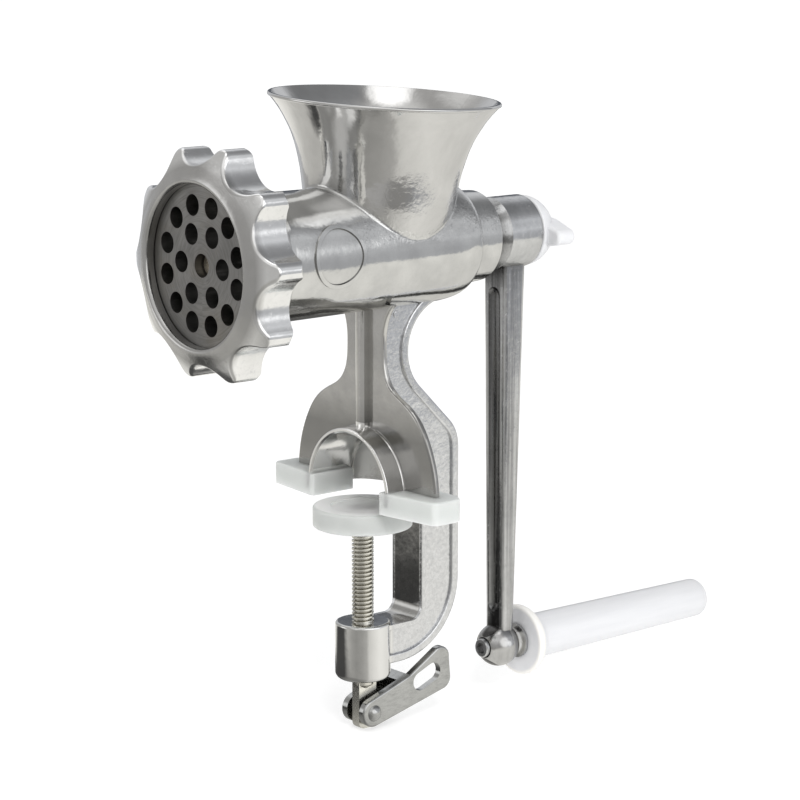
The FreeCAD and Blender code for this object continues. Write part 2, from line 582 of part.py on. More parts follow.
# ---------------------------------------------------------------------- crank
def rounded_rect(z, xc, t, w, r):
    x0, x1, y0, y1 = xc - t / 2, xc + t / 2, -w / 2, w / 2
    q = r * (1 - math.sqrt(0.5))
    e = [line(V(x0 + r, y0, z), V(x1 - r, y0, z)),
         arc(V(x1 - r, y0, z), V(x1 - q, y0 + q, z), V(x1, y0 + r, z)),
         line(V(x1, y0 + r, z), V(x1, y1 - r, z)),
         arc(V(x1, y1 - r, z), V(x1 - q, y1 - q, z), V(x1 - r, y1, z)),
         line(V(x1 - r, y1, z), V(x0 + r, y1, z)),
         arc(V(x0 + r, y1, z), V(x0 + q, y1 - q, z), V(x0, y1 - r, z)),
         line(V(x0, y1 - r, z), V(x0, y0 + r, z)),
         arc(V(x0, y0 + r, z), V(x0 + q, y0 + q, z), V(x0 + r, y0, z))]
    return Part.Wire(e)


ARM_Z0, ARM_Z1 = 82.0, -62.0
ARM_X0, ARM_X1 = 68.2, 66.9
ARM_T0, ARM_T1 = 10.6, 5.6
ARM_W0, ARM_W1 = 12.0, 10.2


def crank_arm():
    hub = rev_x([(HUB_X0, 0), (HUB_X0, 10.8), (HUB_X0 + 4.3, HUB_R - 0.3), (HUB_X0 + 4.8, HUB_R),
                 (HUB_X1 - 0.8, HUB_R), (HUB_X1, HUB_R - 0.8), (HUB_X1, 0)])
    arm = Part.makeLoft([rounded_rect(ARM_Z0, ARM_X0, ARM_T0, ARM_W0, 1.6),
                         rounded_rect(ARM_Z1, ARM_X1, ARM_T1, ARM_W1, 1.6)], True, True)
    # flute along the face that looks to the barrel
    def on_face(z, d):
        k = (ARM_Z0 - z) / (ARM_Z0 - ARM_Z1)
        return V(ARM_X0 + k * (ARM_X1 - ARM_X0) - (ARM_T0 + k * (ARM_T1 - ARM_T0)) / 2 + d, 0, z)
    fr = 3.3
    p0, p1 = on_face(68.8, -1.1), on_face(-49.5, -1.6)
    flute = Part.makeCylinder(fr, (p1 - p0).Length, p0, p1 - p0).fuse(
        [Part.makeSphere(fr, p0), Part.makeSphere(fr, p1)])
    arm = arm.cut(flute)
    ball = Part.makeSphere(BALL_R, V(BALL_X, 0, GRIP_Z))
    neck = cyl_x(BALL_X, 74.6, 5.4, GRIP_Z)
    s = hub.fuse([arm, ball, neck])
    s = s.cut([box(HUB_X0 - 1, HUB_X1 + 1, -5.05, 5.05, AXIS_Z - 5.05, AXIS_Z + 5.05).common(
        cyl_x(HUB_X0 - 2, HUB_X1 + 2, 6.65)),
        cyl_x(55, 80, 3.0, GRIP_Z), cyl_x(55, 59.3, 4.0, GRIP_Z)])
    return s


def grip_bolt():
    head = rev_x([(57.5, 0), (57.5, 3.2), (57.9, 3.6), (59.3, 3.6), (59.3, 0)], GRIP_Z)
    s = head.fuse(cyl_x(59.3, 166.4, 3.0, GRIP_Z))
    return s.cut(hexagon_x(57.0, 59.6, 3.9, GRIP_Z))


def crank_grip():
    z = GRIP_Z
    P = lambda x, r: V(x, 0, z + r)
    e = [line(P(75.9, 3.08), P(75.9, 12.6)),
         arc(P(75.9, 12.6), P(76.2, 13.3), P(76.9, 13.6)),
         arc(P(76.9, 13.6), P(78.7, 13.1), P(80.2, 11.9)),
         arc(P(80.2, 11.9), P(82.9, 9.3), P(86.4, 8.5)),
         line(P(86.4, 8.5), P(171.0, 7.6)),
         line(P(171.0, 7.6), P(171.0, 6.0)),
         line(P(171.0, 6.0), P(160.2, 6.0)),
         line(P(160.2, 6.0), P(160.2, 3.08)),
         line(P(160.2, 3.08), P(75.9, 3.08))]
    return face(e).revolve(V(0, 0, z), V(1, 0, 0), 360)


def grip_end_plug():
    z = GRIP_Z
    P = lambda x, r: V(x, 0, z + r)
    e = [line(P(168.2, 0), P(168.2, 6.0)), line(P(168.2, 6.0), P(171.0, 6.0)), line(P(171.0, 6.0), P(171.0, 7.6)),
         line(P(171.0, 7.6), P(171.8, 7.55)),
         spline([P(171.8, 7.55), P(173.0, 7.15), P(174.0, 6.2), P(174.6, 4.9), P(174.8, 3.4)]),
         line(P(174.8, 3.4), P(174.8, 0)), line(P(174.8, 0), P(168.2, 0))]
    return face(e).revolve(V(0, 0, z), V(1, 0, 0), 360)


# ----------------------------------------------------------------- thumb knob
KNOB_X0 = HUB_X1 + 0.3
KNOB_TURN = 5.0          # degrees, as it was left when tightened


def thumb_knob():
    z = AXIS_Z
    P = lambda x, r: V(x, 0, z + r)
    k0 = KNOB_X0
    e = [line(P(k0, 9.4), P(k0, 12.4)), arc(P(k0, 12.4), P(k0 + 0.3, 12.9), P(k0 + 1.0, 13.0)),
         spline([P(k0 + 1.0, 13.0), P(k0 + 3.8, 12.3), P(k0 + 6.4, 10.8), P(k0 + 8.6, 8.6), P(k0 + 10.0, 6.2), P(k0 + 10.8, 3.6)]),
         line(P(k0 + 10.8, 3.6), P(k0 + 11.1, 2.4)), line(P(k0 + 11.1, 2.4), P(k0 + 11.1, 0)),
         line(P(k0 + 11.1, 0), P(k0 + 1.3, 0)), line(P(k0 + 1.3, 0), P(k0 + 1.3, 9.4)), line(P(k0 + 1.3, 9.4), P(k0, 9.4))]
    dome = face(e).revolve(V(0, 0, z), V(1, 0, 0), 360)
    k = dome
    xe = k0 + 1.9
    for s in (1, -1):
        pr = [line(V(xe, s * 4.0, z - 5.4), V(xe, s * 9.0, z - 5.1)),
              line(V(xe, s * 9.0, z - 5.1), V(xe, s * 16.0, z - 3.1)),
              arc(V(xe, s * 16.0, z - 3.1), V(xe, s * 19.0, z), V(xe, s * 16.0, z + 3.1)),
              line(V(xe, s * 16.0, z + 3.1), V(xe, s * 9.0, z + 5.1)),
              line(V(xe, s * 9.0, z + 5.1), V(xe, s * 4.0, z + 5.4)),
              line(V(xe, s * 4.0, z + 5.4), V(xe, s * 4.0, z - 5.4))]
        ear = face(pr).extrude(V(8.4, 0, 0))
        ear = fillet_try(ear, [ed for ed in ear.Edges if ed.BoundBox.XLength < 0.01 and abs(ed.CenterOfMass.y) > 4.5], 1.4, 0.8)
        k = k.fuse(ear)
    k = k.cut(cyl_x(70, k0 + 8.7, SCREW_R)).cut(cyl_x(70, k0 + 1.3, 9.4))
    k.rotate(V(0, 0, AXIS_Z), V(1, 0, 0), KNOB_TURN)
    return k


def thumb_screw():
    end = KNOB_X0 + 8.7
    plain = HUB_X1 - 0.6
    ridge = thread_z(SCREW_ROOT, SCREW_R, 1.25, 0, plain - STUD_X0 - 3.4)
    ridge.rotate(V(0, 0, 0), V(0, 1, 0), 90)
    ridge.translate(V(STUD_X0 + 2.0, 0, AXIS_Z))
    core = rev_x([(STUD_X0, 0), (STUD_X0, SCREW_ROOT - 0.8), (STUD_X0 + 0.8, SCREW_ROOT), (plain, SCREW_ROOT),
                  (plain, SCREW_R), (end, SCREW_R), (end, 0)])
    return core.fuse(ridge)


# ---------------------------------------------------------------- table clamp
def clamp_disc():
    d = cyl_z(DISC_BOTTOM, DISC_TOP, DISC_R)
    d = d.makeFillet(0.9, [ed for ed in d.Edges if ed.BoundBox.ZLength < 0.01])
    well = cyl_z(DISC_TOP - 0.6, DISC_TOP + 1, 11.5)
    return d.cut([well, cyl_z(DISC_BOTTOM - 1, -3.2, 3.1), cyl_z(-5.5, -4.2, 4.9)])


def clamp_screw():
    ridge = thread_z(SCREW_ROOT, SCREW_R, SCREW_PITCH, -66.0, -10.4)
    core = rev_z([(-68.4, 0), (-68.4, SCREW_ROOT), (-9.9, SCREW_ROOT), (-9.0, 3.0), (-5.45, 3.0), (-5.45, 2.6),
                  (-4.25, 2.6), (-4.25, 3.0), (-4.0, 3.0), (-3.6, 2.6), (-3.6, 0)])
    px, _, pz = PIVOT
    # flattened end with an eye for the rivet
    flat = box(-3.4, 4.6, -TONGUE, TONGUE, -84.4, -67.0)
    flat = fillet_try(flat, [ed for ed in flat.Edges if ed.BoundBox.YLength > 3 and ed.BoundBox.ZMax < -80], 2.4)
    shoulder = rev_z([(-69.6, 0), (-69.6, 1.6), (-67.8, 3.7), (-66.6, 3.7), (-66.6, 0)])
    s = core.fuse(ridge).fuse(shoulder).fuse(flat)
    return s.cut(cyl_y(-3, 3, 2.06, px, pz))


def disc_snap_ring():
    r = cyl_z(-5.3, -4.4, 4.6).cut(cyl_z(-6, -4, 2.65))
    return r.cut(box(0, 6, -1.0, 1.0, -6, -4))


LEVER_Y0, LEVER_Y1 = 3.5, 6.2    # inner and outer faces of the fork


def lever_outline(y0, full):
    """Face of one side of the lever; the far side is only the fork's strap."""
    px, _, pz = PIVOT
    P = lambda x, z: V(x, y0, z)
    r = 5.2
    t1 = math.radians(13.6)       # lower edge
    t2 = math.radians(18.4)       # upper edge, steeper past the knee
    t3 = math.radians(31.0)
    a = P(px + r * math.sin(t1), pz - r * math.cos(t1))
    h = P(px - r * math.sin(t2), pz + r * math.cos(t2))
    k = P(px - r, pz)
    if full:
        b = P(33.4, a.z + (33.4 - a.x) * math.tan(t1))
        j = P(17.5, h.z + (17.5 - h.x) * math.tan(t2))
        g = P(29.6, j.z + 12.1 * math.tan(t3))
        c = P(37.2, b.z + 4.6)
        bm = P(36.1, b.z + 1.45)
        f = P(36.5, g.z - 4.0)
        gm = P(34.2, g.z + 0.35)
        e = [arc(h, k, a), line(a, b), arc(b, bm, c), line(c, f), arc(f, gm, g), line(g, j), line(j, h)]
    else:
        b = P(18.0, a.z + (18.0 - a.x) * math.tan(t1))
        j = P(17.5, h.z + (17.5 - h.x) * math.tan(t2))
        e = [arc(h, k, a), line(a, b), line(b, j), line(j, h)]
    return face(e)


def clamp_lever():
    near = lever_outline(-LEVER_Y1, True).extrude(V(0, LEVER_Y1 - LEVER_Y0, 0))
    near = fillet_try(near, [ed for ed in near.Edges if ed.BoundBox.YLength < 0.01 and ed.CenterOfMass.y < -LEVER_Y1 + 0.01], 0.8, 0.5)
    strap = lever_outline(-LEVER_Y1 + 0.6, False).extrude(V(0, 2 * LEVER_Y1 - 0.6, 0))
    # room between the two sides of the fork
    px, _, pz = PIVOT
    room = box(-20, 13.0, -LEVER_Y0, LEVER_Y0, -95, -50)
    # finger slot
    q = math.radians(22.0)
    s0 = V(22.4, -20, -70.1)
    s1 = V(28.4, -20, -70.1 + 6.0 * math.tan(q))
    sr = 3.5
    n = V(-math.sin(q), 0, math.cos(q))
    u = V(math.cos(q), 0, math.sin(q))
    se = [line(s0 + n * sr, s1 + n * sr), arc(s1 + n * sr, s1 + u * sr, s1 - n * sr),
          line(s1 - n * sr, s0 - n * sr), arc(s0 - n * sr, s0 - u * sr, s0 + n * sr)]
    slot = face(se).extrude(V(0, 40, 0))
    s = near.fuse(strap).cut(room).cut(slot)
    return s.cut(cyl_y(-9, 9, 2.0, px, pz))


def lever_rivet():
    px, _, pz = PIVOT
    s = cyl_y(-LEVER_Y1, LEVER_Y1, 2.0, px, pz)
    caps = []
    for sgn in (1, -1):
        ball = Part.makeSphere(3.5, V(px, sgn * (LEVER_Y1 - 1.8), pz))
        keep = box(px - 5, px + 5, *(sorted((sgn * LEVER_Y1, sgn * (LEVER_Y1 + 5)))), pz - 5, pz + 5)
        caps.append(ball.common(keep))
    return s.fuse(caps)


# ----------------------------------------------------------------------- write
body = save("body_casting", make_body())
pad_right = foot_pad(body)
save("foot_pad_right", pad_right)
save("foot_pad_left", pad_right.mirror(V(0, 0, 0), V(0, 1, 0)))
save("rear_bush", rear_bush())
save("plate_key_pin", rev_x([(MOUTH_X - 4.4, 0), (MOUTH_X - 4.4, 0.9), (MOUTH_X - 4.1, 1.2), (MOUTH_X + 4.2, 1.2), (MOUTH_X + 4.2, 0)], AXIS_Z + 28.9))
save("cutting_plate", cutting_plate())
save("ring_nut", ring_nut())
save("auger", auger())
save("auger_pin", auger_pin())
save("cross_knife", cross_knife())
save("shoulder_washer", cyl_x(34.4, 35.9, 14.5).cut(cyl_x(34, 37, JOURNAL_R + 0.05)))
save("crank_arm", crank_arm())
save("grip_bolt", grip_bolt())
save("grip_washer", cyl_x(74.6, 75.6, 6.6, GRIP_Z).cut(cyl_x(74, 77, 3.0, GRIP_Z)))
save("grip_lock_nut", hexagon_x(161.0, 166.0, 9.0, GRIP_Z).common(
    rev_x([(161.0, 0), (161.0, 4.6), (161.5, 5.3), (165.5, 5.3), (166.0, 4.6), (166.0, 0)], GRIP_Z)).cut(
    cyl_x(160, 167, 3.0, GRIP_Z)))
save("crank_grip", crank_grip())
save("grip_end_plug", grip_end_plug())
save("thumb_knob", thumb_knob())
save("thumb_screw", thumb_screw())
save("knob_washer", cyl_x(HUB_X1 + 0.1, HUB_X1 + 1.3, 9.0).cut(cyl_x(HUB_X1 - 1, HUB_X1 + 2, SCREW_R + 0.1)))
save("clamp_disc", clamp_disc())
save("clamp_screw", clamp_screw())
save("disc_snap_ring", disc_snap_ring())
save("clamp_lever", clamp_lever())
save("lever_rivet", lever_rivet())
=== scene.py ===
"""Looks of a hand crank meat grinder: finishes, floor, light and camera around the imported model."""
import bpy
import math
import json
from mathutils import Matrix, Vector


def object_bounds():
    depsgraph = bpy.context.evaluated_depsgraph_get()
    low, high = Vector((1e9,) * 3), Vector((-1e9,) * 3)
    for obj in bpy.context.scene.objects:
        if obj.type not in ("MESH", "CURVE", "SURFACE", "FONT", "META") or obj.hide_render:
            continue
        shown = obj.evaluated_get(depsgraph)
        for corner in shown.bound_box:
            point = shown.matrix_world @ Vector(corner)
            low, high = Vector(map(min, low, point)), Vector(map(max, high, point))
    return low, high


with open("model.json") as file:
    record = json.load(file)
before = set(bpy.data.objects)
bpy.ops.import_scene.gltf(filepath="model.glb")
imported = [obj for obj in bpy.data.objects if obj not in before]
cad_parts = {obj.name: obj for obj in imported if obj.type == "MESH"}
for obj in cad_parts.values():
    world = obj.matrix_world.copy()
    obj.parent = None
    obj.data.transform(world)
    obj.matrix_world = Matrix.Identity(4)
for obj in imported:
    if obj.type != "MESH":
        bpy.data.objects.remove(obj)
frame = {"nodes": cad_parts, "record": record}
cad_lo, cad_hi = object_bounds()
NODE = frame["nodes"]
scene = bpy.context.scene


# ------------------------------------------------------------------ node helpers
class Mat:
    """A material and short calls for building its node tree."""

    def __init__(self, name):
        self.m = bpy.data.materials.new(name)
        self.m.use_nodes = True
        self.t = self.m.node_tree
        self.t.nodes.clear()
        self.out = self.t.nodes.new("ShaderNodeOutputMaterial")
        self.b = self.t.nodes.new("ShaderNodeBsdfPrincipled")
        self.t.links.new(self.b.outputs[0], self.out.inputs[0])
        self._co = None

    def set(self, **kw):
        for k, v in kw.items():
            s = self.b.inputs[k.replace("_", " ")]
            if hasattr(v, "is_linked") or hasattr(v, "links"):
                self.t.links.new(v, s)
            else:
                s.default_value = v
        return self

    def new(self, kind, **props):
        n = self.t.nodes.new(kind)
        for k, v in props.items():
            setattr(n, k, v)
        return n

    def plug(self, socket, v):
        if hasattr(v, "links"):
            self.t.links.new(v, socket)
        else:
            socket.default_value = v

    def co(self):
        if self._co is None:
            self._co = self.new("ShaderNodeTexCoord").outputs["Object"]
        return self._co

    def scaled(self, sx, sy, sz, at=(0, 0, 0), rot=(0, 0, 0)):
        n = self.new("ShaderNodeMapping")
        self.plug(n.inputs["Vector"], self.co())
        n.inputs["Location"].default_value = at
        n.inputs["Rotation"].default_value = rot
        n.inputs["Scale"].default_value = (sx, sy, sz)
        return n.outputs[0]

    def noise(self, scale, detail=3.0, rough=0.55, vec=None, distort=0.0):
        n = self.new("ShaderNodeTexNoise")
        self.plug(n.inputs["Vector"], vec if vec is not None else self.co())
        n.inputs["Scale"].default_value = scale
        n.inputs["Detail"].default_value = detail
        n.inputs["Roughness"].default_value = rough
        n.inputs["Distortion"].default_value = distort
        return n.outputs["Fac"]

    def cells(self, scale, vec=None, feature="F1"):
        n = self.new("ShaderNodeTexVoronoi", feature=feature)
        self.plug(n.inputs["Vector"], vec if vec is not None else self.co())
        n.inputs["Scale"].default_value = scale
        return n.outputs["Distance"]

    def ramp(self, fac, *stops):
        n = self.new("ShaderNodeValToRGB")
        self.plug(n.inputs["Fac"], fac)
        e = n.color_ramp.elements
        while len(e) < len(stops):
            e.new(0.5)
        for i, (p, c) in enumerate(stops):
            e[i].position = p
            c = (c, c, c) if isinstance(c, (int, float)) else c
            e[i].color = (*c[:3], 1.0)
        return n.outputs["Color"]

    def math(self, op, a, b=0.0, clamp=False):
        n = self.new("ShaderNodeMath", operation=op)
        n.use_clamp = clamp
        self.plug(n.inputs[0], a)
        self.plug(n.inputs[1], b)
        return n.outputs[0]

    def rng(self, v, a, b, c, d):
        n = self.new("ShaderNodeMapRange")
        n.clamp = True
        self.plug(n.inputs["Value"], v)
        for k, x in zip(("From Min", "From Max", "To Min", "To Max"), (a, b, c, d)):
            n.inputs[k].default_value = x
        return n.outputs["Result"]

    def mix(self, fac, a, b, blend="MIX"):
        n = self.new("ShaderNodeMix", data_type="RGBA", blend_type=blend)
        self.plug(n.inputs[0], fac)
        a = (*a[:3], 1.0) if isinstance(a, (tuple, list)) else a
        b = (*b[:3], 1.0) if isinstance(b, (tuple, list)) else b
        self.plug(n.inputs[6], a)
        self.plug(n.inputs[7], b)
        return n.outputs[2]

    def axis(self, k):
        n = self.new("ShaderNodeSeparateXYZ")
        self.plug(n.inputs[0], self.co())
        return n.outputs[k]

    def bump(self, height, dist, strength=1.0, normal=None):
        n = self.new("ShaderNodeBump")
        n.inputs["Strength"].default_value = strength
        n.inputs["Distance"].default_value = dist
        self.plug(n.inputs["Height"], height)
        if normal is not None:
            self.plug(n.inputs["Normal"], normal)
        return n.outputs[0]


# --------------------------------------------------------------------- finishes
AXIS_Z = 0.092          # height of the feed screw's axis
HOPPER_X = 0.0093       # the hopper's upright axis


def radius(m, k1, c1, k2, c2):
    """Distance from an axis, in metres: components k1 and k2 measured from c1 and c2."""
    a = m.math("SUBTRACT", m.axis(k1), c1)
    b = m.math("SUBTRACT", m.axis(k2), c2)
    return m.math("SQRT", m.math("ADD", m.math("MULTIPLY", a, a), m.math("MULTIPLY", b, b)))


def angle(m, k1, c1, k2, c2):
    return m.math("ARCTAN2", m.math("SUBTRACT", m.axis(k1), c1), m.math("SUBTRACT", m.axis(k2), c2))


def joined(m, a, b, c):
    n = m.new("ShaderNodeCombineXYZ")
    for i, v in enumerate((a, b, c)):
        m.plug(n.inputs[i], v)
    return n.outputs[0]


def corner_shade_mask(m, dist, lo=0.35, hi=0.9):
    """Mask for painted corner shade: 0 in tight corners, 1 in the open."""
    n = m.new("ShaderNodeAmbientOcclusion")
    n.samples = 6
    n.inputs["Distance"].default_value = dist
    return m.rng(n.outputs["AO"], lo, hi, 0.0, 1.0)


def castings(m, base, dark, rough, wave, speck, pit_amount=0.30, streak=None):
    """Tumbled and buffed casting: slow waves, fine speckle, scattered pits and a cloudy tone. Gives colour, roughness and normal."""
    big = m.noise(60, 3, 0.5)
    mid = m.noise(380, 4, 0.6)
    fine = m.noise(2100, 3, 0.6)
    pits = m.ramp(m.noise(820, 5, 0.74), (0.585, 0.0), (0.66, 1.0))
    glints = m.ramp(m.noise(1250, 4, 0.7, m.scaled(1, 1, 1, (0.31, 0.17, 0.05))), (0.62, 0.0), (0.68, 1.0))
    tone = m.mix(m.rng(big, 0.32, 0.68, 0, 1), dark, base)
    tone = m.mix(m.rng(mid, 0.35, 0.70, 0.0, 0.22), tone, tuple(min(1.0, c * 1.35) for c in base))
    tone = m.mix(m.math("MULTIPLY", pits, pit_amount), tone, (0.20, 0.20, 0.21))
    tone = m.mix(m.math("MULTIPLY", glints, 0.45 * pit_amount), tone, (0.95, 0.95, 0.95))
    r = m.math("ADD", m.rng(mid, 0.3, 0.72, rough[0], rough[1]), m.math("MULTIPLY", pits, 0.15))
    n1 = m.bump(big, wave, 1.0)
    if streak is not None:
        n1 = m.bump(streak[0], streak[1], 1.0, n1)
    n2 = m.bump(mid, speck * 3, 0.8, n1)
    n3 = m.bump(m.math("SUBTRACT", fine, pits), speck, 0.8, n2)
    return tone, r, n3


def mix_val(m, fac, a, b):
    n = m.new("ShaderNodeMix", data_type="FLOAT")
    m.plug(n.inputs[0], fac)
    m.plug(n.inputs[2], a)
    m.plug(n.inputs[3], b)
    return n.outputs[0]


def body_finish():
    """The main casting: buffed hopper, half speckled barrel, satin saddle, grained spine, bright boss. Painted shade
    darkens corners, the clamp's bow and the saddle towards its foot; painted light brightens the arch ring's front, the
    vault and one side of the boss.
    """
    m = Mat("cast_aluminium")
    rb = radius(m, 1, 0.0, 2, AXIS_Z)
    z = m.axis(2)
    hop = m.math("MULTIPLY", m.rng(rb, 0.0231, 0.0243, 0, 1), m.rng(z, 0.094, 0.100, 0, 1))
    low = m.rng(z, 0.0755, 0.0700, 0, 1)
    boss = m.math("MULTIPLY", m.rng(radius(m, 0, 0.0, 1, 0.0), 0.0112, 0.0104, 0, 1), m.rng(z, -0.042, -0.0445, 0, 1))
    satin = m.math("MULTIPLY", low, m.math("SUBTRACT", 1.0, boss))
    y_off = m.math("ABSOLUTE", m.axis(1))
    flank = m.math("MULTIPLY", m.rng(y_off, 0.0068, 0.0072, 0, 1), m.rng(y_off, 0.0092, 0.0087, 0, 1))
    flank = m.math("MULTIPLY", m.math("MULTIPLY", flank, satin), m.rng(m.axis(0), 0.0034, 0.0040, 0, 1))
    # speckled band along the upper half of the barrel's sides
    th = m.math("ABSOLUTE", angle(m, 1, 0.0, 2, AXIS_Z))
    band = m.math("MULTIPLY", m.rng(th, 1.47, 1.28, 0, 1), m.rng(th, 0.66, 0.86, 0, 1))
    band = m.math("MULTIPLY", band, m.rng(m.noise(75, 3, 0.6), 0.36, 0.58, 0.15, 1.0))
    band = m.math("MULTIPLY", band, m.rng(m.axis(0), -0.020, -0.006, 0.20, 1.0))
    waves = m.noise(34, 2, 0.5)
    ripple = m.noise(120, 3, 0.5)
    grain = m.noise(560, 4, 0.62)
    fine = m.noise(2100, 3, 0.6)
    specks = m.ramp(m.noise(900, 5, 0.72), (0.54, 0.0), (0.66, 1.0))
    glints = m.ramp(m.noise(1000, 4, 0.7, m.scaled(1, 1, 1, (0.31, 0.17, 0.05))), (0.58, 0.0), (0.66, 1.0))
    col = m.mix(m.rng(ripple, 0.32, 0.68, 0, 1), (0.60, 0.60, 0.593), (0.70, 0.70, 0.69))
    col = m.mix(m.math("MULTIPLY", m.math("ADD", m.math("MULTIPLY", band, 0.60), 0.07), specks), col, (0.26, 0.26, 0.265))
    col = m.mix(m.math("MULTIPLY", band, m.math("MULTIPLY", glints, 0.8)), col, (0.97, 0.97, 0.97))
    hop_tone = m.mix(m.rng(m.noise(48, 4, 0.6, distort=0.4), 0.32, 0.68, 0, 1), (0.59, 0.587, 0.58), (0.69, 0.687, 0.68))
    sat_tone = m.mix(m.rng(m.noise(75, 4, 0.6), 0.3, 0.7, 0, 1), (0.55, 0.543, 0.525), (0.66, 0.653, 0.635))
    fl_tone = m.mix(m.rng(m.noise(640, 4, 0.65), 0.34, 0.66, 0, 1), (0.65, 0.657, 0.67), (0.77, 0.776, 0.79))
    fl_tone = m.mix(m.math("MULTIPLY", specks, 0.22), fl_tone, (0.36, 0.365, 0.38))
    ra = radius(m, 1, 0.0, 2, 0.005)
    # painted shade: the saddle's faces darker towards their foot, the web's front face darker below its upper part
    front = m.rng(m.axis(0), 0.0040, 0.0028, 0, 1)
    sat_tone = m.mix(front, m.mix(m.rng(z, 0.040, 0.012, 0.0, 0.42), sat_tone, (0.33, 0.328, 0.322)),
                       m.mix(m.math("MULTIPLY", m.rng(z, 0.038, 0.026, 0.0, 0.80), m.rng(z, 0.009, 0.017, 0.7, 1)), sat_tone, (0.25, 0.248, 0.242)))
    # painted highlight: the front of the arch ring made lighter
    rim = m.math("MULTIPLY", m.rng(ra, 0.0246, 0.0242, 0, 1), m.rng(m.axis(0), 0.0009, 0.0003, 0, 1))
    sat_tone = m.mix(rim, sat_tone, m.mix(m.rng(ripple, 0.32, 0.68, 0, 1), (0.90, 0.896, 0.886), (0.97, 0.966, 0.956)))
    # painted light: the inside of the arch vault made lighter against its own shade
    vault = m.math("MULTIPLY", m.rng(ra, 0.0218, 0.0212, 0, 1), m.math("MULTIPLY", m.rng(z, 0.0015, 0.0028, 0, 1), m.rng(m.axis(0), 0.0130, 0.0095, 0, 1)))
    sat_tone = m.mix(vault, sat_tone, (0.95, 0.95, 0.94))
    col = m.mix(hop, col, hop_tone)
    col = m.mix(satin, col, sat_tone)
    col = m.mix(flank, col, fl_tone)
    # painted shade on the inner face of the clamp's bow
    bow_painted_shade = m.math("MULTIPLY", m.rng(m.axis(0), 0.0218, 0.0212, 0, 1), m.rng(m.axis(0), 0.0196, 0.0204, 0, 1))
    bow_painted_shade = m.math("MULTIPLY", bow_painted_shade, m.math("MULTIPLY", m.rng(z, 0.0022, 0.0010, 0, 1), m.rng(z, -0.0435, -0.0405, 0, 1)))
    col = m.mix(m.math("MULTIPLY", bow_painted_shade, m.rng(m.noise(300, 4, 0.6), 0.3, 0.7, 0.15, 0.35)), col, (0.20, 0.20, 0.196))
    # painted highlight: one side of the boss made lighter
    boss_lit_side = m.math("ADD", m.math("MULTIPLY", m.axis(0), 0.77), m.math("MULTIPLY", m.axis(1), -0.64))
    col = m.mix(m.math("MULTIPLY", boss, m.rng(boss_lit_side, 0.0, 0.007, 0.0, 0.8)), col, (0.86, 0.86, 0.855))
    # painted shade: dark in tight corners, strongest outside the satin saddle
    unshaded = corner_shade_mask(m, 0.005)
    col = m.mix(unshaded, m.mix(mix_val(m, satin, 0.55, 0.16), col, (0.08, 0.078, 0.075)), col)
    rr = m.math("ADD", m.rng(grain, 0.3, 0.7, 0.07, 0.13), m.math("MULTIPLY", band, 0.05))
    rr = mix_val(m, hop, rr, m.rng(ripple, 0.3, 0.7, 0.05, 0.11))
    rr = mix_val(m, satin, rr, m.rng(grain, 0.3, 0.7, 0.12, 0.19))
    rr = mix_val(m, boss, rr, m.rng(grain, 0.3, 0.7, 0.06, 0.11))
    n1 = m.bump(ripple, 0.00013, 1.0, m.bump(waves, 0.0005, 1.0))
    rougher = m.math("ADD", m.math("MULTIPLY", band, 1.0), m.math("MULTIPLY", flank, 0.7))
    n2 = m.bump(m.math("MULTIPLY", grain, m.math("ADD", rougher, 0.05)), 0.00020, 1.0, n1)
    n3 = m.bump(fine, 0.000006, 0.8, n2)
    m.set(Base_Color=col, Metallic=1.0, Roughness=rr, Normal=n3)
    return m.m


def nut_finish():
    """Ring nut: buffed lobes, satin front with faint turning rings."""
    m = Mat("nut_aluminium")
    rb = radius(m, 1, 0.0, 2, AXIS_Z)
    rings = m.noise(1.0, 2, 0.5, joined(m, m.math("MULTIPLY", rb, 2600.0), 0.0, 0.0))
    front = m.math("MULTIPLY", m.rng(m.axis(0), -0.0680, -0.0700, 0, 1), m.rng(rb, 0.0372, 0.0335, 0, 1))
    tone, rough, normal = castings(m, (0.90, 0.90, 0.90), (0.80, 0.80, 0.795), (0.10, 0.17), 0.00025, 0.000012, 0.10)
    face = m.mix(m.rng(m.noise(38, 3), 0.3, 0.7, 0, 1), (0.46, 0.457, 0.45), (0.59, 0.587, 0.58))
    face = m.mix(m.rng(rings, 0.4, 0.7, 0, 0.10), face, (0.34, 0.335, 0.33))
    col = m.mix(front, tone, face)
    # painted shade: dark in tight corners and in the holes
    unshaded = corner_shade_mask(m, 0.005)
    col = m.mix(unshaded, m.mix(0.55, col, (0.08, 0.078, 0.075)), col)
    rr = mix_val(m, front, rough, m.rng(rings, 0.3, 0.7, 0.17, 0.23))
    n2 = m.bump(m.math("MULTIPLY", rings, front), 0.000005, 0.5, normal)
    m.set(Base_Color=col, Metallic=1.0, Roughness=rr, Normal=n2)
    return m.m


